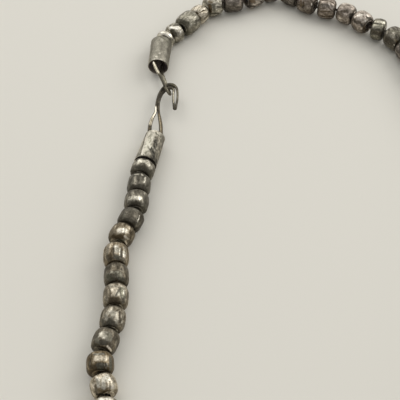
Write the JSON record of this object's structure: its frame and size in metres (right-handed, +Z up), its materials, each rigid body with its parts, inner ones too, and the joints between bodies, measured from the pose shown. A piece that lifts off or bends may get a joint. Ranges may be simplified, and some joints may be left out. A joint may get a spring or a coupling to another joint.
{
  "type": "statement necklace",
  "caption": "Necklace of plump silver barrel beads on a thread, closed by a wire hook that passes through a wire eye, each wire set in a short end tube.",
  "frame": {"origin": "on the table under the middle of the necklace's box", "axes": "+X to the right as pictured, +Y away from the viewer along the loop's longer side, +Z up from the table; the clasp is on the -X side"},
  "size_m": [0.1266, 0.2404, 0.0086],
  "materials": {
    "oxidised_silver": "oxidised silver, dark in its hollows and rubbed bright on its high spots",
    "worn_silver_tube": "worn silver, dull, with patches of dark and warm patina",
    "dark_silver_wire": "silver wire with a dark patina and bright highlights",
    "brown_thread": "dark brown waxed beading thread"
  },
  "bodies": {
    "root": {"hook": "dark_silver_wire", "eye": "dark_silver_wire", "hook_tube": "worn_silver_tube", "eye_tube": "worn_silver_tube", "thread": "brown_thread", "plain_beads": "oxidised_silver", "eye_bead_1": "oxidised_silver", "eye_bead_2": "oxidised_silver", "eye_bead_3": "oxidised_silver", "eye_bead_4": "oxidised_silver", "eye_bead_5": "oxidised_silver", "eye_bead_6": "oxidised_silver", "eye_bead_7": "oxidised_silver", "eye_bead_8": "oxidised_silver", "eye_bead_9": "oxidised_silver", "eye_bead_10": "oxidised_silver", "eye_bead_11": "oxidised_silver", "eye_bead_12": "oxidised_silver", "eye_bead_13": "oxidised_silver", "eye_bead_14": "oxidised_silver", "eye_bead_15": "oxidised_silver", "eye_bead_16": "oxidised_silver", "hook_bead_1": "oxidised_silver", "hook_bead_2": "oxidised_silver", "hook_bead_3": "oxidised_silver", "hook_bead_4": "oxidised_silver", "hook_bead_5": "oxidised_silver", "hook_bead_6": "oxidised_silver", "hook_bead_7": "oxidised_silver", "hook_bead_8": "oxidised_silver", "hook_bead_9": "oxidised_silver", "hook_bead_10": "oxidised_silver", "hook_bead_11": "oxidised_silver", "hook_bead_12": "oxidised_silver", "hook_bead_13": "oxidised_silver"}
  },
  "joints": []
}
